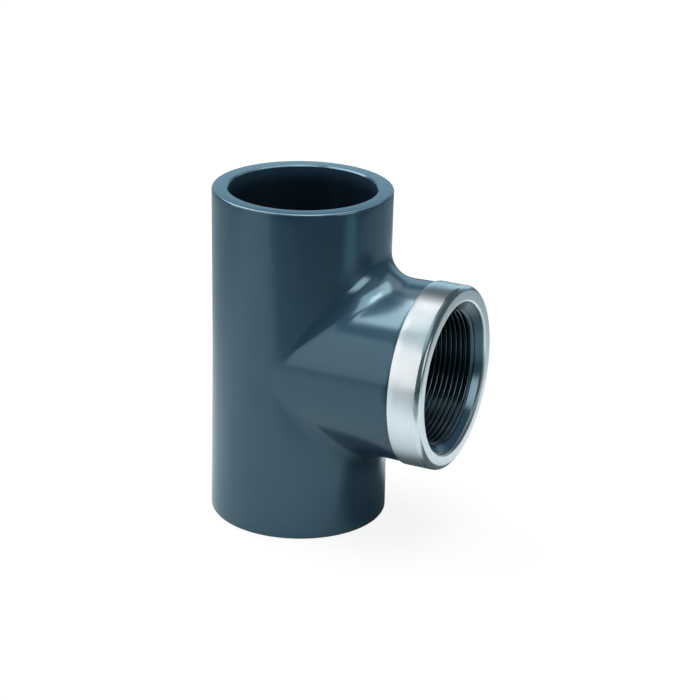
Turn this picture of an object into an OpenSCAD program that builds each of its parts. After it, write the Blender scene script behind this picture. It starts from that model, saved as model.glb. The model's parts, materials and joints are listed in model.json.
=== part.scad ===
// Pipe tee for glued 63 mm pipe, with a 2 inch internal pipe thread in its branch.
// The run stands along Z, the branch points along X, and their axes cross at the origin.
// The branch ends in a spigot, and a pressed steel ring sits on it against bursting.
// The thread itself is left out: its bore has the diameter of the thread's crests.

/* [Run] */
// Overall length of the run, from rim to rim
run_length = 146; // [136:1:200]
// Outer diameter at the two rims
run_rim_d = 76.8; // [75:0.1:84]
// Outer diameter halfway, smaller because the mould has draft
run_mid_d = 76; // [72:0.1:80]
// Rounding of each rim's outer edge
rim_round = 0.9; // [0.3:0.1:2]

/* [Pipe sockets] */
// Bore of each socket, a close fit on the glued pipe
socket_d = 63.2; // [60:0.1:66]
// Depth of each socket down to its stop
socket_depth = 38; // [25:0.5:42]
// Chamfer round each socket's mouth
socket_chamfer = 0.6; // [0.3:0.1:2]
// Diameter of the waterway between the two stops
run_waterway_d = 56; // [50:0.5:59]

/* [Branch] */
// Distance from the run's axis to the front of the steel ring
branch_reach = 73; // [70:0.5:90]
// How far the branch's wall lies inside the run's wall where they meet at the side
branch_step = 0.25; // [0.1:0.05:1]
// Draft of the branch, which widens towards its collar
branch_draft = 1; // [0.2:0.1:2]
// Radius of the blend in the corner between run and branch
blend_r = 11.3; // [5:0.1:14]
// Diameter of the waterway behind the thread
branch_waterway_d = 54; // [48:0.5:56]

/* [Collar] */
// Length over which the branch flares out to its collar
flare_length = 5.3; // [3:0.1:7]
// How far the collar stands proud of the steel ring
collar_proud = 0.25; // [0:0.05:1]
// Chamfer of the collar's edge
collar_edge = 0.2; // [0.1:0.05:0.5]

/* [Branch thread] */
// Diameter over the crests of the internal thread
thread_crest_d = 56.66; // [52:0.02:60]
// Length of the threaded bore behind its lead-in
thread_length = 26; // [18:0.5:32]
// Size of the 45 degree lead-in, along the axis and along the radius
lead_in = 3.9; // [2:0.1:5]

/* [Steel ring] */
// Outer diameter of the ring
ring_d = 79; // [77:0.1:86]
// Width of the ring along the branch
ring_width = 14.2; // [9:0.1:18]
// Thickness of the sheet that the ring is pressed from
ring_sheet = 1.4; // [1.3:0.1:2]
// Outer radius of the bend between the ring's skirt and its flange
ring_bend = 2.5; // [2.2:0.1:3.5]
// Rounding of the flange's inner edge
ring_hole_round = 1.2; // [0.2:0.1:1.2]
// Width of the plastic rim that shows inside the flange
lip_land = 0.4; // [0.1:0.1:1.5]
// Radial clearance between the ring and its spigot
ring_fit = 0.03; // [0.01:0.01:0.2]
// Seam between the ring's back edge and the collar
ring_seam = 0.15; // [0.05:0.05:0.4]

/* [Hidden] */
$fn = 96;

// Straight steps along a quarter round and along the collar's flare
round_steps = 6;
// Steps round the branch and across the blend
blend_turns = 84;
blend_steps = 9;
// Depth to which the blend's edges are sunk into the walls
blend_sink = 0.08;
// Depth to which the blend's hidden root is sunk into the walls
blend_root = 2;
// Extra length of the cutting tools beyond open faces
over = 1;

half_run = run_length / 2;
run_rim_r = run_rim_d / 2;
run_mid_r = run_mid_d / 2;
run_slope = (run_rim_r - run_mid_r) / (half_run - rim_round);
stop_z = half_run - socket_depth;

branch_root_r = run_mid_r - branch_step;
branch_slope = tan(branch_draft);
ring_r = ring_d / 2;
spigot_r = ring_r - ring_sheet - ring_fit;
spigot_corner = ring_bend - ring_sheet;
collar_r = ring_r + collar_proud;
collar_x = branch_reach - ring_width - ring_seam;
flare_x = collar_x - flare_length;
rim_x = branch_reach - ring_sheet;

crest_r = thread_crest_d / 2;
mouth_r = crest_r + lead_in;
thread_start_x = rim_x - lead_in;
thread_end_x = thread_start_x - thread_length;
ring_hole_r = mouth_r + lip_land;

// Radius of the run's wall at height z, and of the branch's wall at distance x
function run_wall(z) = run_mid_r + run_slope * abs(z);
function branch_wall(x) = branch_root_r + branch_slope * x;

// Points of an arc round c from angle a to angle b
function arc(c, r, a, b) =
    [for (i = [0:round_steps]) let (t = a + (b - a) * i / round_steps) c + r * [cos(t), sin(t)]];

// A ball of radius blend_r rolls round the corner and touches run and branch.
// At angle a round the branch, and with the run's radius as R, its centre has this x.
function ball_x(a, R) =
    let (
        b = branch_root_r + blend_r,
        c = pow(cos(a), 2),
        k = 1 + branch_slope * branch_slope * c,
        h = b * branch_slope * c
    )
    (sqrt(h * h - k * (b * b * c - pow(R + blend_r, 2))) - h) / k;

// Centre of the ball, refined n times because the run's radius changes with its height
function ball(a, R, n) =
    let (x = ball_x(a, R), d = branch_wall(x) + blend_r, z = d * sin(a))
    n == 0 ? [x, d * cos(a), z] : ball(a, run_wall(z), n - 1);

// Cross-section of the blend: a hidden root inside both walls, then the ball's arc
// from the run's side to the branch's side, with its ends sunk into the walls
function blend_section(a) =
    let (
        c = ball(a, run_mid_r, 3),
        to_run = -[c.x, c.y, 0] / norm([c.x, c.y]),
        to_branch = -[0, c.y, c.z] / norm([c.y, c.z]),
        w = acos(to_run * to_branch),
        root = (branch_root_r - blend_root) / (branch_root_r + blend_r)
    )
    concat([c * root], [for (i = [0:blend_steps]) let (t = i / blend_steps)
        c + (blend_r + blend_sink) * (sin((1 - t) * w) * to_run + sin(t * w) * to_branch) / sin(w)]);

module crotch_blend() {
    n = blend_steps + 2;
    points = [for (i = [0:blend_turns - 1]) each blend_section(360 * i / blend_turns)];
    faces = [for (i = [0:blend_turns - 1], j = [0:n - 1])
        let (
            p = i * n + j,
            q = i * n + (j + 1) % n,
            r = (i + 1) % blend_turns * n + (j + 1) % n,
            s = (i + 1) % blend_turns * n + j
        )
        each [[p, q, r], [p, r, s]]];
    polyhedron(points, faces, convexity = 6);
}

module run_outside() {
    rim = arc([run_rim_r - rim_round, half_run - rim_round], rim_round, 0, 90);
    rim_below = [for (i = [len(rim) - 1:-1:0]) [rim[i].x, -rim[i].y]];
    rotate_extrude()
        polygon(concat([[0, -half_run]], rim_below, [[run_mid_r, 0]], rim, [[0, half_run]]));
}

module branch_outside() {
    rise = collar_r - branch_wall(collar_x);
    flare = [for (i = [0:round_steps]) let (t = i / round_steps, x = flare_x + t * flare_length)
        [branch_wall(x) + rise * t * t, x]];
    corner = arc([spigot_r - spigot_corner, rim_x - spigot_corner], spigot_corner, 0, 90);
    rotate([0, 90, 0])
        rotate_extrude()
            polygon(concat(
                [[0, 0], [branch_root_r, 0]],
                [for (i = [0:round_steps - 1]) flare[i]],
                [[collar_r, collar_x - collar_edge], [collar_r - collar_edge, collar_x]],
                [[spigot_r, collar_x]],
                corner,
                [[0, rim_x]]
            ));
}

module run_bores() {
    translate([0, 0, -half_run]) cylinder(d = run_waterway_d, h = run_length);
    for (side = [0, 1])
        mirror([0, 0, side]) {
            translate([0, 0, stop_z])
                cylinder(d = socket_d, h = socket_depth + over);
            translate([0, 0, half_run - socket_chamfer])
                cylinder(
                    d1 = socket_d,
                    d2 = socket_d + 2 * (socket_chamfer + over),
                    h = socket_chamfer + over
                );
        }
}

module branch_bores() {
    rotate([0, 90, 0]) {
        cylinder(d = branch_waterway_d, h = branch_reach);
        translate([0, 0, thread_end_x])
            cylinder(r = crest_r, h = branch_reach - thread_end_x);
        translate([0, 0, thread_start_x])
            cylinder(r1 = crest_r, r2 = mouth_r + over, h = lead_in + over);
    }
}

module tee_body() {
    color([0.24, 0.34, 0.41])
        difference() {
            union() {
                run_outside();
                branch_outside();
                crotch_blend();
            }
            run_bores();
            branch_bores();
        }
}

module reinforcing_ring() {
    inside_r = ring_r - ring_sheet;
    back_x = collar_x + ring_seam;
    outer_bend = arc([ring_r - ring_bend, branch_reach - ring_bend], ring_bend, 0, 90);
    inner_bend = arc([inside_r - spigot_corner, rim_x - spigot_corner], spigot_corner, 90, 0);
    hole_edge = arc([ring_hole_r + ring_hole_round, branch_reach - ring_hole_round],
        ring_hole_round, 90, 180);
    color([0.78, 0.80, 0.82])
        rotate([0, 90, 0])
            rotate_extrude()
                polygon(concat(
                    [[inside_r, back_x], [ring_r, back_x]],
                    outer_bend,
                    hole_edge,
                    [[ring_hole_r, rim_x]],
                    inner_bend
                ));
}

tee_body();
reinforcing_ring();
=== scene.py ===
"""Looks of a plastic pipe tee: its moulded body with a cut thread, and its pressed steel ring.

The run stands along Z and the branch points along X, with their axes crossing at the origin.
Shapes are worked out in millimetres and scaled to metres when a piece is finished.
"""

import json
import math

import bmesh
import bpy
from mathutils import Matrix, Vector


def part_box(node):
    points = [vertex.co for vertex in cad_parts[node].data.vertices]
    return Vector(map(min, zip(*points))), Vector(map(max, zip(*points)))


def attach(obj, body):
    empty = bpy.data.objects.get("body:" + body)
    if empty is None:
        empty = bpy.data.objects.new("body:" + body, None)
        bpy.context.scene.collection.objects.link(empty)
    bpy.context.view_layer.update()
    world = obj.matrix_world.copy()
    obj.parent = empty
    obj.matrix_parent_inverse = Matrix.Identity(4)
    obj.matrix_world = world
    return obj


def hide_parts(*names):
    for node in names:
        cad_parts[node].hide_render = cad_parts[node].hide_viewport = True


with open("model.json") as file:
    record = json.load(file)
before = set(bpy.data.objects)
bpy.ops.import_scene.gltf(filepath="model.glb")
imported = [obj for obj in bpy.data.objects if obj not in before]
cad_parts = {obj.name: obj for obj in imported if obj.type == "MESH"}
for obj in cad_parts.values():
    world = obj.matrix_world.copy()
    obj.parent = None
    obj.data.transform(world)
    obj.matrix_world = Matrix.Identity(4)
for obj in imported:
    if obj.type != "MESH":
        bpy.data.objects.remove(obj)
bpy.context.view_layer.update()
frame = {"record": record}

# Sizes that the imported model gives, in millimetres
MM = 0.001
body_low, body_high = (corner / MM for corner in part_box("tee_body"))
ring_low, ring_high = (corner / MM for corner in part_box("reinforcing_ring"))
mounts = {mount["name"]: mount for mount in frame["record"]["mounts"]}
HALF_RUN = body_high.z
RUN_RIM_R = -body_low.x
RING_R = ring_high.y
RING_BACK_X = ring_low.x
BRANCH_REACH = ring_high.x
SOCKET_R = mounts["upper_socket"]["dims"]["r_mm"]
SOCKET_CHAMFER = HALF_RUN - mounts["upper_socket"]["pos_m"][2] / MM
STOP_Z = mounts["run_waterway"]["dims"]["length_mm"] / 2
RUN_WATERWAY_R = mounts["run_waterway"]["dims"]["r_mm"]
BRANCH_WATERWAY_R = mounts["branch_waterway"]["dims"]["r_mm"]
CREST_R = mounts["branch_thread"]["dims"]["r_mm"]
THREAD_START_X = mounts["branch_thread"]["pos_m"][0] / MM
THREAD_END_X = THREAD_START_X - mounts["branch_thread"]["dims"]["length_mm"]

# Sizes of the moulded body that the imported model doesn't name. The seam behind the ring is
# narrower than the model's.
RUN_MID_R = 38.0
RIM_ROUND = 0.9
BRANCH_STEP = 0.25
BRANCH_DRAFT = math.radians(1.0)
BLEND_R = 11.3
SHOULDER_ROUND = 0.2
RING_SEAM = 0.06
LIP_LAND = 0.4

# Depth below the rim at which the painted shade in a bore has reached its full darkness
MOUTH_DEPTH = 8.0

# Sizes of the pressed ring
RING_SHEET = 1.4
RING_BEND = 2.5
RING_HOLE_ROUND = 1.2
RING_BACK_ROUND = 0.2
RING_FIT = 0.03

# Parallel pipe thread, 11 turns to the inch, right-handed, with flanks at 55 degrees. Its crests
# cross the +Y side at whole pitches from CREST_PHASE_X, and at its inner end the grooves fade away
# over the length RUN_OUT.
THREAD_PITCH = 25.4 / 11
FLANK_ANGLE = math.radians(27.5)
TIP_ROUND = 0.137329 * THREAD_PITCH
THREAD_DEPTH = 0.640327 * THREAD_PITCH
CREST_PHASE_X = 0.75
RUN_OUT = 1.6

# Fineness of the meshes. A window is the place in the run's wall where the branch joins it, and
# two plain levels of points lie between the outer window and the rim.
TURNS = 240
COLUMNS = 100
COLUMN_ANGLE = 2 * math.pi / COLUMNS
WINDOW_STEPS = TURNS // 4
OUTER_WINDOW_Z = 60.0
INNER_WINDOW_Z = 32.0
PLAIN_LEVELS = [64.0, 68.0]
PATCH_ROWS = 8
BLEND_ROWS = 12
WALL_ROWS = 16
ROUND_STEPS = 6
SMALL_ROUND_STEPS = 4
SHOULDER_STEPS = 3
BEND_STEPS = 16
INNER_BEND_STEPS = 8
HOLE_STEPS = 10
SKIRT_ROWS = 4
LEAD_IN_ROWS = 8
UNCUT_LEAD_IN_ROWS = 4
THREAD_ROWS_PER_TURN = 18
BALL_ROUNDS = 4
MERGE_DISTANCE = 0.001
SHARP_ANGLE = math.radians(28)

# How far outside the thread's grooves and from its inner end an edge still counts as threaded
THREAD_MARGIN_R = 0.3
THREAD_MARGIN_X = 0.1

# Places worked out from the sizes
BRANCH_ROOT_R = RUN_MID_R - BRANCH_STEP
RUN_SLOPE = (RUN_RIM_R - RUN_MID_R) / (HALF_RUN - RIM_ROUND)
BRANCH_SLOPE = math.tan(BRANCH_DRAFT)
SHOULDER_X = RING_BACK_X - RING_SEAM
RIM_X = BRANCH_REACH - RING_SHEET
SPIGOT_R = RING_R - RING_SHEET - RING_FIT
SPIGOT_CORNER = RING_BEND - RING_SHEET
MOUTH_R = CREST_R + RIM_X - THREAD_START_X
RING_HOLE_R = MOUTH_R + LIP_LAND

# Colours, as linear red, green and blue
BLACK = (0.0, 0.0, 0.0)
WHITE = (1.0, 1.0, 1.0)
BODY_COLOURS = (0.017, 0.040, 0.064), (0.021, 0.047, 0.074)
# Painted shade: the dark colour that the walls of the bores and the thread take further in
PAINTED_BORE_SHADE = (0.005, 0.011, 0.018)
BODY_SHEEN = (0.58, 0.88, 1.0)
BODY_IOR = 1.82
RING_COLOURS = (0.74, 0.755, 0.77), (0.79, 0.805, 0.82)
PAPER_COLOUR = (0.34, 0.39, 0.41)
FAINT_COLOUR = (0.1, 0.1, 0.1)
GLOSS_TINT = (0.88, 0.98, 1.0)
# Tint of the painted shade on the floor, as gloss sees it
SHADE_TINT = (0.45, 0.85, 0.95)
ROOM_TINT = (0.57, 0.87, 1.0)

# Detail of the surfaces, with noise scales per metre. The ring's rolled corner has a roughness that
# is lower by CORNER_SMOOTHING, up to CORNER_EDGE in millimetres past either end of the bend. The
# bump's height is in metres.
EVEN_CLOUDS = {"Low": 0.0, "High": 1.0}
BODY_TONE = {"Scale": 45.0, **EVEN_CLOUDS}
BODY_ROUGHNESS = {"Scale": 70.0, "Low": 0.16, "High": 0.21}
BODY_SKIN = {"Grain Scale": 2500.0, "Wave Scale": 350.0, "Waves": 0.5}
RING_TONE = {"Scale": 160.0, **EVEN_CLOUDS}
RING_ROUGHNESS = {"Scale": 110.0, "Low": 0.26, "High": 0.32}
RING_SKIN = {"Grain Scale": 1200.0, "Wave Scale": 130.0, "Waves": 0.85}
RING_LINES = {"Scale": 2600.0, "Detail": 2.0}
RING_LINE_SHARE = 0.25
CORNER_SMOOTHING = 0.14
CORNER_EDGE = 0.4
BUMP_HEIGHT = 0.00002
BUMP_STRENGTH = 0.3

# Levels of light, where 1 is the white of the picture
WHITE_LEVEL = 0.88
GLOSS_LEVEL = 0.33
STRIPE_LEVEL = 0.68
BACKDROP_LEVEL = 0.88
CEILING_LEVEL = 0.45
ROOM_LEVEL = 0.12

# The room as gloss and light see it, but for the backdrop, which only gloss sees. Azimuths are in
# degrees from +X towards +Y. Each pair is a step from dark to bright, in parts of a unit
# direction: up, or towards the azimuth.
BACKDROP_AZIMUTH = 116
BACKDROP_SIDES = (0.5, 0.95)
BACKDROP_HEIGHTS = (0.44, 0.33)
FLAG_AZIMUTH = 65
FLAG_SIDES = (0.3, -0.2)
CEILING_HEIGHTS = (0.5, 0.8)

# Places on the floor, in metres: the painted shade under the branch, longer along X than across, a
# painted stripe of light that runs out along +X in front of the branch, and the distances over
# which the white that the camera sees reaches its full level
FLOOR_HALF_WIDTH = 4.0
SHADE_PLACE = (0.08, 0.015)
SHADE_STRETCH = 1.5
SHADE_RADII = (0.03, 0.055)
SHADE_LEVEL = 0.2
STRIPE_Y = -0.02
STRIPE_HALF_WIDTHS = (0.08, 0.03)
STRIPE_START = (0.24, 0.32)
HORIZON = (0.2, 1.2)

# How the floor dims beyond some limits, each with its azimuth and the distances over which it
# counts, and the share of the light that is left there
FLOOR_FALLOFF = (
    (((-60, 0.13, 0.20), (-22, 0.04, 0.12)), 0.4),
    (((-30, 0.26, 0.36),), 0.4),
    (((40, 0.18, 0.30),), 0.5),
    (((150, 0.08, 0.30),), 0.6),
)

# Azimuth, elevation, width and height of each softbox in degrees, its level of light, and the
# lower level that a flag leaves of it on the shiny ring
SOFTBOXES = {
    "overhead softbox": (8, 81, 60, 42, 3.6, 0.1),
    "overhead bulb": (0, 88, 20, 15, 6.0, 0.0),
    "left overhead softbox": (171.3, 54.5, 45.5, 40, 5.5, 1.16),
    "right softbox": (-9, 12, 27, 23, 4.3, 0.7),
    "left panel": (-131, 21.5, 64, 48, 1.15, 1.08),
}

# The same for the weak lights on the body alone, and for those on the ring alone
BODY_GLOWS = {
    "rear overhead glow": (100, 58, 80, 44, 0.9),
    "right overhead glow": (-12, 45, 50, 26, 0.4),
}
RING_GLOWS = {
    "rear glow on the ring": (129, 56, 16, 22, 0.45),
    "left glow on the ring": (-128, 47, 17, 16, 0.4),
}

# The point that the lamps face and their distance from it, in metres
LAMP_TARGET = (0.03, 0.0, 0.03)
LAMP_DISTANCE = 0.8

# The camera's place and aim in degrees and metres, as fitted to the photo. Its lens is the focal
# length in pixels, brought from the photo's width to the width of the sensor.
CAMERA_AZIMUTH = -65.176
CAMERA_ELEVATION = 21.549
CAMERA_DISTANCE = 0.9551
CAMERA_TARGET = (0.02357, 0, 0.00362)
CAMERA_ROLL = 1.343
CAMERA_LENS = 2232.4 / 700 * 36
CAMERA_NEAR = 0.05
CAMERA_FAR = 20


def run_wall(z):
    """Outer radius of the run at height z."""
    return RUN_MID_R + RUN_SLOPE * abs(z)


def branch_wall(x):
    """Outer radius of the branch at distance x from the run's axis."""
    return BRANCH_ROOT_R + BRANCH_SLOPE * x


def mix(a, b, t):
    """The value or point that lies the share t of the way from a to b."""
    return a + (b - a) * t


def arc(centre, radius, start, end, steps=ROUND_STEPS):
    """Points of an arc in the plane, from the angle start to the angle end in degrees."""
    angles = [math.radians(mix(start, end, i / steps)) for i in range(steps + 1)]
    return [(centre[0] + radius * math.cos(a), centre[1] + radius * math.sin(a)) for a in angles]


def round_branch(turn):
    """Angle round the branch, from +Y towards +Z, of the point with this number."""
    return 2 * math.pi * turn / TURNS


def branch_ring(x, r):
    """A ring of points round the branch's axis."""
    angles = [round_branch(turn) for turn in range(TURNS)]
    return [Vector((x, r * math.cos(a), r * math.sin(a))) for a in angles]


def ball_centre(a):
    """Centre of a ball that rolls round the corner and touches both run and branch."""
    reach = BRANCH_ROOT_R + BLEND_R
    square = math.cos(a) ** 2
    k = 1 + BRANCH_SLOPE**2 * square
    h = reach * BRANCH_SLOPE * square
    z = reach * math.sin(a)
    for _ in range(BALL_ROUNDS):
        away = run_wall(z) + BLEND_R
        x = (math.sqrt(h * h - k * (reach * reach * square - away * away)) - h) / k
        z = (branch_wall(x) + BLEND_R) * math.sin(a)
    return Vector((x, (branch_wall(x) + BLEND_R) * math.cos(a), z))


def blend_point(turn, share):
    """Point of the blend, from the run's wall at share 0 to the branch's wall at share 1."""
    c = ball_centre(round_branch(turn))
    to_run = -Vector((c.x, c.y, 0)).normalized()
    to_branch = -Vector((0, c.y, c.z)).normalized()
    turned = to_run.angle(to_branch)
    weights = math.sin((1 - share) * turned), math.sin(share * turned)
    return c + (weights[0] * to_run + weights[1] * to_branch) * BLEND_R / math.sin(turned)


def groove(from_crest):
    """How far the thread's wall lies outside its crests, at this distance along the axis."""
    tip = TIP_ROUND * math.cos(FLANK_ANGLE)
    if from_crest > THREAD_PITCH / 4:
        return THREAD_DEPTH - groove(THREAD_PITCH / 2 - from_crest)
    if from_crest < tip:
        return TIP_ROUND - math.sqrt(TIP_ROUND**2 - from_crest**2)
    return TIP_ROUND * (1 - math.sin(FLANK_ANGLE)) + (from_crest - tip) / math.tan(FLANK_ANGLE)


def thread_ring(x):
    """Ring of the threaded wall at x, with its lead-in cone and its run-out at the far end."""
    share = min(1.0, max(0.0, (x - THREAD_END_X) / RUN_OUT))
    fade = share * share * (3 - 2 * share)
    ring = []
    for turn in range(TURNS):
        a = round_branch(turn)
        along = (x - CREST_PHASE_X) / THREAD_PITCH - a / (2 * math.pi)
        from_crest = abs(along - round(along)) * THREAD_PITCH
        r = CREST_R + max(fade * groove(from_crest), x - THREAD_START_X)
        ring.append(Vector((x, r * math.cos(a), r * math.sin(a))))
    return ring


def window_place(turn):
    """Column and level on the window's frame of the point with this number."""
    half = WINDOW_STEPS // 2
    side, step = divmod((turn + half) % TURNS, WINDOW_STEPS)
    sides = [(half, step - half), (half - step, half), (-half, half - step), (step - half, -half)]
    return sides[side]


def window_frame(half_height):
    """The frame of a window in the run's wall, as (angle, height) points round the branch."""
    level = half_height / (WINDOW_STEPS // 2)
    return [(column * COLUMN_ANGLE, n * level) for column, n in map(window_place, range(TURNS))]


def on_wall(radius, places):
    """Points on a wall round the run's axis, whose radius depends on the height."""
    return [Vector((radius(z) * math.cos(a), radius(z) * math.sin(a), z)) for a, z in places]


def patch_rows(radius, half_height, hole):
    """Rows over the run's wall from its window's frame to the points of a hole in it."""
    hole_places = [(math.atan2(p.y, p.x), p.z) for p in hole]
    rows = []
    for row in range(1, PATCH_ROWS + 1):
        share = row / PATCH_ROWS
        places = [
            (mix(a, b, share), mix(y, z, share))
            for (a, y), (b, z) in zip(window_frame(half_height), hole_places)
        ]
        rows.append(on_wall(radius, places))
    return rows


def waterway(z):
    """Radius of the run's waterway, the same at every height."""
    return RUN_WATERWAY_R


def crossing_ring():
    """The edge where the bore of the branch breaks into the bore of the run."""
    ring = branch_ring(0, BRANCH_WATERWAY_R)
    for point in ring:
        point.x = math.sqrt(RUN_WATERWAY_R**2 - point.y**2)
    return ring


def run_outline():
    """Closed outline of the run's wall, as (radius, height) points, starting up the outside."""
    half = WINDOW_STEPS // 2
    outer_levels = [OUTER_WINDOW_Z * i / half for i in range(half + 1)] + PLAIN_LEVELS
    inner_levels = [INNER_WINDOW_Z * i / half for i in range(half, -1, -1)]
    rim = arc((RUN_RIM_R - RIM_ROUND, HALF_RUN - RIM_ROUND), RIM_ROUND, 0, 90)
    chamfer = [(SOCKET_R + SOCKET_CHAMFER, HALF_RUN), (SOCKET_R, HALF_RUN - SOCKET_CHAMFER)]
    stop = [(SOCKET_R, STOP_Z), (RUN_WATERWAY_R, STOP_Z)]
    upper = [(run_wall(z), z) for z in outer_levels] + rim + chamfer + stop
    upper += [(RUN_WATERWAY_R, z) for z in inner_levels]
    return upper + [(r, -z) for r, z in reversed(upper[1:-1])]


def branch_outline():
    """Outline of the branch's end as (distance, radius) points, from shoulder to lead-in."""
    shoulder_middle = SHOULDER_X - SHOULDER_ROUND, branch_wall(SHOULDER_X) - SHOULDER_ROUND
    shoulder = arc(shoulder_middle, SHOULDER_ROUND, 90, 0, SHOULDER_STEPS)
    corner = arc((RIM_X - SPIGOT_CORNER, SPIGOT_R - SPIGOT_CORNER), SPIGOT_CORNER, 90, 0)
    lead_in = []
    for i in range(UNCUT_LEAD_IN_ROWS):
        share = i / LEAD_IN_ROWS
        lead_in.append((mix(RIM_X, THREAD_START_X, share), mix(MOUTH_R, CREST_R, share)))
    return shoulder + [(SHOULDER_X, SPIGOT_R)] + corner + [(RIM_X, RING_HOLE_R)] + lead_in


def spun(bm, outline, axis, steps):
    """Spin a closed outline of points round an axis into a closed shell."""
    verts = [bm.verts.new(point) for point in outline]
    edges = [bm.edges.new((verts[i - 1], verts[i])) for i in range(len(verts))]
    bmesh.ops.spin(
        bm,
        geom=verts + edges,
        cent=(0, 0, 0),
        axis=axis,
        angle=2 * math.pi,
        steps=steps,
        use_merge=True,
    )


def open_window(bm, number, inside_r, outside_r, half_height):
    """Cut a window in one wall of the run and number the points of its frame round the branch."""
    half = WINDOW_STEPS // 2
    half_angle = half * COLUMN_ANGLE
    behind = []
    for face in bm.faces:
        middle = face.calc_center_median()
        in_wall = inside_r < math.hypot(middle.x, middle.y) < outside_r
        in_angle = abs(math.atan2(middle.y, middle.x)) < half_angle
        if in_wall and in_angle and abs(middle.z) < half_height:
            behind.append(face)
    bmesh.ops.delete(bm, geom=behind, context="FACES")
    numbers = {window_place(turn): turn for turn in range(TURNS)}
    frame_edges = []
    for edge in bm.edges:
        reach = math.hypot(edge.verts[0].co.x, edge.verts[0].co.y)
        if edge.is_boundary and inside_r < reach < outside_r:
            frame_edges.append(edge)
            for vert in edge.verts:
                column = round(math.atan2(vert.co.y, vert.co.x) / COLUMN_ANGLE)
                vert[number] = numbers[column, round(vert.co.z / half_height * half)]
    return frame_edges


def lofted(bm, number, edges, rows):
    """Extrude a loop of edges from row to row. A point keeps its number and takes that place."""
    for row in rows:
        made = bmesh.ops.extrude_edge_only(bm, edges=edges)["geom"]
        fresh = {item for item in made if isinstance(item, bmesh.types.BMVert)}
        edges = [
            item
            for item in made
            if isinstance(item, bmesh.types.BMEdge) and fresh.issuperset(item.verts)
        ]
        for vert in fresh:
            vert.co = row[vert[number]]
    return edges


def finished_piece(name, bm, material, node, soft_edge=None):
    """Turn a shape in millimetres into a piece that stands for a node of the model."""
    bmesh.ops.recalc_face_normals(bm, faces=bm.faces)
    for face in bm.faces:
        face.smooth = True
    for edge in bm.edges:
        flowing = soft_edge is not None and soft_edge(edge)
        edge.smooth = flowing or edge.calc_face_angle(0) < SHARP_ANGLE
    bmesh.ops.scale(bm, vec=(MM, MM, MM), verts=bm.verts)
    mesh = bpy.data.meshes.new(name)
    bm.to_mesh(mesh)
    bm.free()
    mesh.materials.append(material)
    piece = bpy.data.objects.new(name, mesh)
    bpy.context.scene.collection.objects.link(piece)
    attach(piece, "root")
    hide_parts(node)
    return piece


def in_thread(edge):
    """Whether an edge lies in the threaded wall or the lead-in."""
    middle = (edge.verts[0].co + edge.verts[1].co) / 2
    deep = math.hypot(middle.y, middle.z) < CREST_R + THREAD_DEPTH + THREAD_MARGIN_R
    return deep and THREAD_END_X + THREAD_MARGIN_X < middle.x < RIM_X


def moulded_tee(material):
    """The body in one shell: run, blend, branch, spigot, thread and bores."""
    bm = bmesh.new()
    number = bm.verts.layers.int.new("number")
    spun(bm, [(r, 0, z) for r, z in run_outline()], (0, 0, 1), COLUMNS)
    outer_frame = open_window(bm, number, SOCKET_R, RUN_RIM_R, OUTER_WINDOW_Z)
    open_window(bm, number, 0, SOCKET_R, INNER_WINDOW_Z)

    blend = []
    for i in range(BLEND_ROWS + 1):
        blend.append([blend_point(turn, i / BLEND_ROWS) for turn in range(TURNS)])
    rows = patch_rows(run_wall, OUTER_WINDOW_Z, blend[0]) + blend[1:]
    neck = branch_ring(*branch_outline()[0])
    for i in range(1, WALL_ROWS):
        rows.append([mix(a, b, i / WALL_ROWS) for a, b in zip(blend[-1], neck)])
    rows += [branch_ring(x, r) for x, r in branch_outline()]
    cone_end = branch_outline()[-1][0]
    thread_rows = math.ceil((cone_end - THREAD_END_X) / THREAD_PITCH * THREAD_ROWS_PER_TURN)
    for i in range(1, thread_rows + 1):
        rows.append(thread_ring(mix(cone_end, THREAD_END_X, i / thread_rows)))
    step = branch_ring(THREAD_END_X, BRANCH_WATERWAY_R)
    crossing = crossing_ring()
    for i in range(PATCH_ROWS + 1):
        rows.append([mix(a, b, i / PATCH_ROWS) for a, b in zip(step, crossing)])
    rows += patch_rows(waterway, INNER_WINDOW_Z, crossing)[-2::-1]
    rows.append(on_wall(waterway, window_frame(INNER_WINDOW_Z)))
    lofted(bm, number, outer_frame, rows)
    bmesh.ops.remove_doubles(bm, verts=bm.verts, dist=MERGE_DISTANCE)
    return finished_piece("moulded_tee", bm, material, "tee_body", in_thread)


def pressed_ring(material):
    """The steel ring: a skirt over the spigot, a rolled bend and a flange over its end."""
    inside_r = RING_R - RING_SHEET
    back_middle = RING_BACK_X + RING_BACK_ROUND, RING_R - RING_BACK_ROUND
    back = arc(back_middle, RING_BACK_ROUND, 180, 90, SMALL_ROUND_STEPS)
    bend_middle = BRANCH_REACH - RING_BEND, RING_R - RING_BEND
    bend = arc(bend_middle, RING_BEND, 90, 0, BEND_STEPS)
    hole_middle = BRANCH_REACH - RING_HOLE_ROUND, RING_HOLE_R + RING_HOLE_ROUND
    hole = arc(hole_middle, RING_HOLE_ROUND, 0, -90, HOLE_STEPS)
    inner_middle = RIM_X - SPIGOT_CORNER, inside_r - SPIGOT_CORNER
    inner_bend = arc(inner_middle, SPIGOT_CORNER, 0, 90, INNER_BEND_STEPS)
    skirt = []
    for i in range(1, SKIRT_ROWS):
        skirt.append((mix(back[-1][0], bend[0][0], i / SKIRT_ROWS), RING_R))
    outline = [(RING_BACK_X, inside_r)] + back + skirt + bend + hole + [(RIM_X, RING_HOLE_R)]
    bm = bmesh.new()
    spun(bm, [(x, 0, r) for x, r in outline + inner_bend], (1, 0, 0), TURNS)
    return finished_piece("pressed_ring", bm, material, "reinforcing_ring")


def new_material(name):
    """An empty material with its shader and output."""
    material = bpy.data.materials.new(name)
    material.use_nodes = True
    tree = material.node_tree
    tree.nodes.clear()
    shader = tree.nodes.new("ShaderNodeBsdfPrincipled")
    add_node(tree, "ShaderNodeOutputMaterial", links={"Surface": shader.outputs["BSDF"]})
    return material, tree, shader


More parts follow.
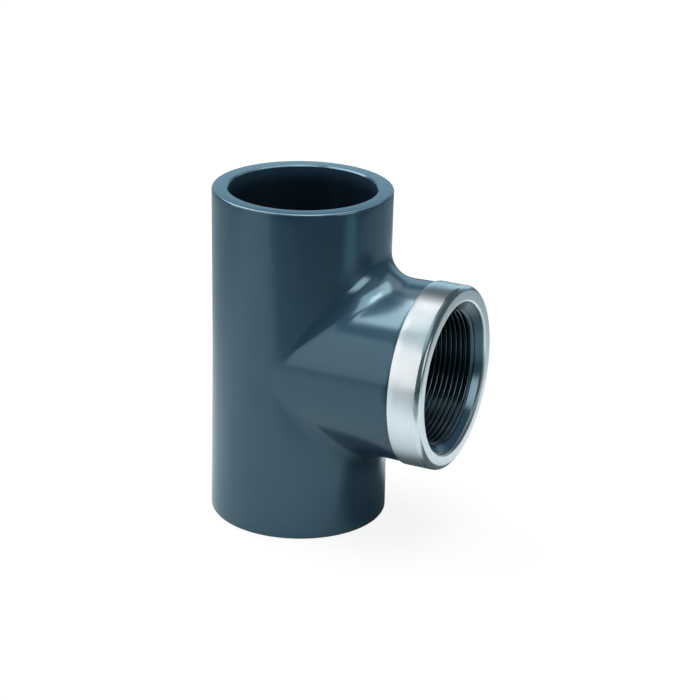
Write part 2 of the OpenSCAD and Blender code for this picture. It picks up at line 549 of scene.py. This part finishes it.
def add_node(tree, kind, values=None, links=None, **settings):
    """Add a node, set its settings and input values, and link its inputs."""
    node = tree.nodes.new(kind)
    for key, value in settings.items():
        setattr(node, key, value)
    for key, value in (values or {}).items():
        node.inputs[key].default_value = value
    for key, source in (links or {}).items():
        tree.links.new(source, node.inputs[key])
    return node


def maths(tree, operation, *sources):
    """Result of a Math node on inputs that are numbers or other nodes' outputs."""
    node = add_node(tree, "ShaderNodeMath", operation=operation)
    for socket, source in zip(node.inputs, sources):
        if isinstance(source, (int, float)):
            socket.default_value = source
        else:
            tree.links.new(source, socket)
    return node.outputs["Value"]


def colour_mix(tree, share, first, second):
    """Mix of two colours, each of them three numbers or another node's output."""
    node = add_node(tree, "ShaderNodeMix", data_type="RGBA")
    tree.links.new(share, node.inputs[0])
    colours = [socket for socket in node.inputs if socket.type == "RGBA"]
    for socket, source in zip(colours, (first, second)):
        if isinstance(source, tuple):
            socket.default_value = (*source, 1)
        else:
            tree.links.new(source, socket)
    return next(socket for socket in node.outputs if socket.type == "RGBA")


def ramp(tree, value, low, high):
    """A smooth step from 0 where the value is low to 1 where it is high."""
    node = add_node(
        tree,
        "ShaderNodeMapRange",
        interpolation_type="SMOOTHSTEP",
        values={"From Min": low, "From Max": high},
        links={"Value": value},
    )
    return node.outputs["Result"]


def coordinates(tree, place):
    """The three coordinates of a place."""
    parts = add_node(tree, "ShaderNodeSeparateXYZ", links={"Vector": place})
    return [parts.outputs[name] for name in "XYZ"]


def off_axis(tree, first, second):
    """Distance from an axis, from the two coordinates across it."""
    squares = [maths(tree, "MULTIPLY", side, side) for side in (first, second)]
    return maths(tree, "SQRT", maths(tree, "ADD", *squares))


def towards(tree, place, azimuth):
    """How far a place or a direction reaches towards an azimuth in degrees."""
    a = math.radians(azimuth)
    node = add_node(
        tree,
        "ShaderNodeVectorMath",
        operation="DOT_PRODUCT",
        values={1: (math.cos(a), math.sin(a), 0)},
        links={0: place},
    )
    return node.outputs["Value"]


def group_with(name, inputs, output):
    """An empty node group with these inputs and this output, each a name and a kind."""
    group = bpy.data.node_groups.new(name, "ShaderNodeTree")
    for label, kind in inputs:
        group.interface.new_socket(label, in_out="INPUT", socket_type=f"NodeSocket{kind}")
    group.interface.new_socket(output, in_out="OUTPUT", socket_type="NodeSocketFloat")
    return group, group.nodes.new("NodeGroupInput"), group.nodes.new("NodeGroupOutput")


def cloud_group():
    """Node group: soft clouds that run from one value to another."""
    numbers = [(name, "Float") for name in ("Scale", "Low", "High")]
    group, given, result = group_with("soft clouds", [("Place", "Vector")] + numbers, "Value")
    noise = add_node(
        group,
        "ShaderNodeTexNoise",
        values={"Detail": 2.0, "Roughness": 0.45},
        links={"Vector": given.outputs["Place"], "Scale": given.outputs["Scale"]},
    )
    spread = add_node(
        group,
        "ShaderNodeMapRange",
        values={"From Min": 0.2, "From Max": 0.8},
        links={
            "Value": noise.outputs["Fac"],
            "To Min": given.outputs["Low"],
            "To Max": given.outputs["High"],
        },
    )
    group.links.new(spread.outputs["Result"], result.inputs["Value"])
    return group


def skin_group():
    """Node group: height of a fine grain over a gentle waviness, from 0 to 1."""
    numbers = [(name, "Float") for name in ("Grain Scale", "Wave Scale", "Waves")]
    group, given, result = group_with(
        "grain over waves", [("Place", "Vector")] + numbers, "Height"
    )
    grain, waves = [
        add_node(
            group,
            "ShaderNodeTexNoise",
            values={"Detail": detail},
            links={"Vector": given.outputs["Place"], "Scale": given.outputs[scale]},
        )
        for scale, detail in (("Grain Scale", 2.0), ("Wave Scale", 1.0))
    ]
    mixed = add_node(
        group,
        "ShaderNodeMix",
        links={
            "Factor": given.outputs["Waves"],
            "A": grain.outputs["Fac"],
            "B": waves.outputs["Fac"],
        },
    )
    group.links.new(mixed.outputs["Result"], result.inputs["Height"])
    return group


def placed(tree, group, values, place):
    """Lay a node group's pattern over a material and return its only output."""
    links = {"Place": place}
    node = add_node(tree, "ShaderNodeGroup", node_tree=group, values=values, links=links)
    return node.outputs[0]


def bumped(tree, shader, height):
    """Give a shader a fine bump, from a height between 0 and about 1."""
    bump = add_node(
        tree,
        "ShaderNodeBump",
        values={"Strength": BUMP_STRENGTH, "Distance": BUMP_HEIGHT},
        links={"Height": height},
    )
    tree.links.new(bump.outputs["Normal"], shader.inputs["Normal"])


def bore_shade_mask(tree, place):
    """Mask of the painted shade in the bores: 0 at their mouths and outside them, 1 further in."""
    x, y, z = coordinates(tree, place)
    wall = (SOCKET_R + SOCKET_CHAMFER) * MM
    near_run_axis = maths(tree, "LESS_THAN", off_axis(tree, x, y), wall)
    height = maths(tree, "ABSOLUTE", z)
    below_rim = ramp(tree, height, HALF_RUN * MM, (HALF_RUN - MOUTH_DEPTH) * MM)
    in_run = maths(tree, "MULTIPLY", near_run_axis, below_rim)
    thread_root = (CREST_R + THREAD_DEPTH + TIP_ROUND) * MM
    near_branch_axis = maths(tree, "LESS_THAN", off_axis(tree, y, z), thread_root)
    past_run_axis = maths(tree, "GREATER_THAN", x, 0)
    in_branch = maths(tree, "MULTIPLY", near_branch_axis, past_run_axis)
    return maths(tree, "MAXIMUM", in_run, in_branch)


def body_plastic(clouds, skin):
    """Dark blue-grey moulded plastic with a satin skin, and painted shade that darkens its deep
    bores.
    """
    material, tree, shader = new_material("blue-grey moulded plastic")
    place = add_node(tree, "ShaderNodeTexCoord").outputs["Object"]
    tone = placed(tree, clouds, BODY_TONE, place)
    colour = colour_mix(tree, tone, *BODY_COLOURS)
    # Painted shade: the bores and the thread are darkened in the base colour
    colour = colour_mix(tree, bore_shade_mask(tree, place), colour, PAINTED_BORE_SHADE)
    tree.links.new(colour, shader.inputs["Base Color"])
    tree.links.new(placed(tree, clouds, BODY_ROUGHNESS, place), shader.inputs["Roughness"])
    bumped(tree, shader, placed(tree, skin, BODY_SKIN, place))
    shader.inputs["IOR"].default_value = BODY_IOR
    shader.inputs["Specular Tint"].default_value = (*BODY_SHEEN, 1)
    return material


def ring_steel(clouds, skin):
    """Satin stainless steel, turned round its axis, with a smoother rolled corner."""
    material, tree, shader = new_material("satin stainless steel")
    place = add_node(tree, "ShaderNodeTexCoord").outputs["Object"]
    x, y, z = coordinates(tree, place)
    radius = off_axis(tree, y, z)
    past_edges = []
    for distance, end in ((x, BRANCH_REACH), (radius, RING_R)):
        edge = end - RING_BEND
        limits = (edge - CORNER_EDGE) * MM, (edge + CORNER_EDGE) * MM
        past_edges.append(ramp(tree, distance, *limits))
    corner = maths(tree, "MULTIPLY", *past_edges)

    tone = placed(tree, clouds, RING_TONE, place)
    tree.links.new(colour_mix(tree, tone, *RING_COLOURS), shader.inputs["Base Color"])
    satin = placed(tree, clouds, RING_ROUGHNESS, place)
    roughness = maths(tree, "MULTIPLY_ADD", corner, -CORNER_SMOOTHING, satin)
    tree.links.new(roughness, shader.inputs["Roughness"])

    around = add_node(tree, "ShaderNodeCombineXYZ", links={"X": x, "Y": radius})
    lines = add_node(
        tree,
        "ShaderNodeTexNoise",
        values=RING_LINES,
        links={"Vector": around.outputs["Vector"]},
    )
    waves = placed(tree, skin, RING_SKIN, place)
    bumped(tree, shader, maths(tree, "MULTIPLY_ADD", lines.outputs["Fac"], RING_LINE_SHARE, waves))
    shader.inputs["Metallic"].default_value = 1.0
    return material


def direction(azimuth, elevation):
    """Unit vector towards an azimuth and an elevation in degrees."""
    a, e = math.radians(azimuth), math.radians(elevation)
    return Vector((math.cos(a) * math.cos(e), math.sin(a) * math.cos(e), math.sin(e)))


def fitted_camera():
    """The camera that sees the tee as the photo shows it."""
    back = direction(CAMERA_AZIMUTH, CAMERA_ELEVATION)
    turn = math.radians(CAMERA_ROLL)
    right = Vector((0, 0, 1)).cross(back).normalized()
    up = back.cross(right)
    across = right * math.cos(turn) + up * math.sin(turn)
    above = up * math.cos(turn) - right * math.sin(turn)
    axes = Matrix((across, above, back)).transposed().to_4x4()
    data = bpy.data.cameras.new("camera")
    data.lens = CAMERA_LENS
    data.clip_start = CAMERA_NEAR
    data.clip_end = CAMERA_FAR
    camera = bpy.data.objects.new("camera", data)
    bpy.context.scene.collection.objects.link(camera)
    place = Vector(CAMERA_TARGET) + back * CAMERA_DISTANCE
    camera.matrix_world = Matrix.Translation(place) @ axes
    bpy.context.scene.camera = camera


def group_of(name, pieces):
    """A collection that a lamp's light is kept to."""
    group = bpy.data.collections.new(name)
    for piece in pieces:
        group.objects.link(piece)
    return group


def softbox(name, azimuth, elevation, width, height, strength, lit):
    """A softbox that faces the tee and lights some pieces, with its angles as seen from there."""
    back = direction(azimuth, elevation)
    across = direction(azimuth + 90, 0)
    data = bpy.data.lights.new(name, "AREA")
    data.shape = "RECTANGLE"
    data.size = 2 * LAMP_DISTANCE * math.tan(math.radians(width / 2))
    data.size_y = 2 * LAMP_DISTANCE * math.tan(math.radians(height / 2))
    data.energy = strength * math.pi * data.size * data.size_y
    lamp = bpy.data.objects.new(name, data)
    bpy.context.scene.collection.objects.link(lamp)
    axes = Matrix((across, back.cross(across), back)).transposed().to_4x4()
    lamp.matrix_world = Matrix.Translation(Vector(LAMP_TARGET) + back * LAMP_DISTANCE) @ axes
    lamp.light_linking.receiver_collection = lit


def ray_masks(tree):
    """Masks of the rays from the camera, and of those that gloss and glass send on."""
    path = add_node(tree, "ShaderNodeLightPath")
    glossy, through = path.outputs["Is Glossy Ray"], path.outputs["Is Transmission Ray"]
    return path.outputs["Is Camera Ray"], maths(tree, "MAXIMUM", glossy, through)


def pale_world():
    """White for the camera, a dim room with a flagged ceiling, and a backdrop for gloss alone."""
    world = bpy.data.worlds.new("pale studio")
    bpy.context.scene.world = world
    world.use_nodes = True
    tree = world.node_tree
    tree.nodes.clear()
    seen, sent_on = ray_masks(tree)
    place = add_node(tree, "ShaderNodeTexCoord").outputs["Generated"]
    height = coordinates(tree, place)[2]
    behind = ramp(tree, towards(tree, place, BACKDROP_AZIMUTH), *BACKDROP_SIDES)
    low = ramp(tree, height, *BACKDROP_HEIGHTS)
    backdrop = maths(tree, "MULTIPLY", maths(tree, "MULTIPLY", behind, low), sent_on)
    backdrop = maths(tree, "MULTIPLY", backdrop, BACKDROP_LEVEL)
    open_side = ramp(tree, towards(tree, place, FLAG_AZIMUTH), *FLAG_SIDES)
    ceiling = maths(tree, "MULTIPLY", ramp(tree, height, *CEILING_HEIGHTS), CEILING_LEVEL)
    ceiling = maths(tree, "MULTIPLY", ceiling, open_side)
    room = maths(tree, "MAXIMUM", maths(tree, "MAXIMUM", backdrop, ceiling), ROOM_LEVEL)
    lit = add_node(
        tree,
        "ShaderNodeBackground",
        values={"Color": (*ROOM_TINT, 1)},
        links={"Strength": room},
    )
    white = add_node(
        tree,
        "ShaderNodeBackground",
        values={"Color": (*WHITE, 1), "Strength": 1.0},
    )
    both = add_node(tree, "ShaderNodeMixShader", links={"Fac": seen})
    tree.links.new(lit.outputs["Background"], both.inputs[1])
    tree.links.new(white.outputs["Background"], both.inputs[2])
    add_node(tree, "ShaderNodeOutputWorld", links={"Surface": both.outputs["Shader"]})


def sheet_light(tree, place):
    """Share of the full light painted on the floor: dim in a painted shade under the branch and far
    away.
    """
    x, y = coordinates(tree, place)[:2]
    along = maths(tree, "DIVIDE", maths(tree, "SUBTRACT", x, SHADE_PLACE[0]), SHADE_STRETCH)
    beside = maths(tree, "SUBTRACT", y, SHADE_PLACE[1])
    open_air = ramp(tree, off_axis(tree, along, beside), *SHADE_RADII)
    sheet = maths(tree, "MULTIPLY_ADD", open_air, 1 - SHADE_LEVEL, SHADE_LEVEL)
    for limits, left_over in FLOOR_FALLOFF:
        beyond = None
        for azimuth, start, end in limits:
            past = ramp(tree, towards(tree, place, azimuth), start, end)
            beyond = past if beyond is None else maths(tree, "MULTIPLY", beyond, past)
        share = maths(tree, "MULTIPLY_ADD", beyond, left_over - 1, 1.0)
        sheet = maths(tree, "MULTIPLY", sheet, share)
    return sheet


def floor_paper():
    """White that glows for the camera, and for gloss and light a pale sheet with painted shade and
    a painted stripe of light, that fades away.
    """
    material = bpy.data.materials.new("pale floor")
    material.use_nodes = True
    tree = material.node_tree
    tree.nodes.clear()
    seen, sent_on = ray_masks(tree)
    place = add_node(tree, "ShaderNodeTexCoord").outputs["Object"]
    x, y = coordinates(tree, place)[:2]
    sheet = sheet_light(tree, place)
    paper = colour_mix(tree, sheet, BLACK, PAPER_COLOUR)
    matt = add_node(
        tree,
        "ShaderNodeBsdfDiffuse",
        links={"Color": colour_mix(tree, seen, paper, FAINT_COLOUR)},
    )

    # Painted light: a stripe that glows on the floor for gloss alone, in front of the branch
    across = maths(tree, "ABSOLUTE", maths(tree, "SUBTRACT", y, STRIPE_Y))
    stripe_sides = ramp(tree, across, *STRIPE_HALF_WIDTHS)
    stripe = maths(tree, "MULTIPLY", stripe_sides, ramp(tree, x, *STRIPE_START))
    glow = maths(tree, "MULTIPLY", sheet, GLOSS_LEVEL)
    glow = maths(tree, "MULTIPLY_ADD", stripe, STRIPE_LEVEL, glow)
    glow = maths(tree, "MULTIPLY", glow, sent_on)
    far = ramp(tree, off_axis(tree, x, y), *HORIZON)
    white_level = maths(tree, "MULTIPLY_ADD", far, 1 - WHITE_LEVEL, WHITE_LEVEL)
    strength = maths(tree, "MULTIPLY_ADD", seen, white_level, glow)
    tint = colour_mix(tree, sheet, SHADE_TINT, GLOSS_TINT)
    tint = colour_mix(tree, seen, tint, WHITE)
    white = add_node(tree, "ShaderNodeEmission", links={"Color": tint, "Strength": strength})

    both = add_node(tree, "ShaderNodeAddShader")
    tree.links.new(matt.outputs["BSDF"], both.inputs[0])
    tree.links.new(white.outputs["Emission"], both.inputs[1])
    add_node(tree, "ShaderNodeOutputMaterial", links={"Surface": both.outputs["Shader"]})
    return material


def pale_floor():
    """A plain floor under the tee."""
    bm = bmesh.new()
    bmesh.ops.create_grid(bm, x_segments=1, y_segments=1, size=FLOOR_HALF_WIDTH)
    bmesh.ops.translate(bm, vec=(0, 0, -HALF_RUN * MM), verts=bm.verts)
    mesh = bpy.data.meshes.new("floor")
    bm.to_mesh(mesh)
    bm.free()
    mesh.materials.append(floor_paper())
    floor = bpy.data.objects.new("floor", mesh)
    bpy.context.scene.collection.objects.link(floor)
    return floor


scene = bpy.context.scene
scene.view_settings.view_transform = "Standard"
clouds = cloud_group()
skin = skin_group()
tee = moulded_tee(body_plastic(clouds, skin))
ring = pressed_ring(ring_steel(clouds, skin))
pale_world()
in_full = group_of("lit in full", [tee, pale_floor()])
in_part = group_of("lit past a flag", [ring])
for name, (*place, level, level_on_ring) in SOFTBOXES.items():
    softbox(name, *place, level, in_full)
    if level_on_ring:
        softbox(f"{name} on the ring", *place, level_on_ring, in_part)
body_alone = group_of("lit by the body's glows", [tee])
for name, (*place, level) in BODY_GLOWS.items():
    softbox(name, *place, level, body_alone)
for name, (*place, level) in RING_GLOWS.items():
    softbox(name, *place, level, in_part)
fitted_camera()
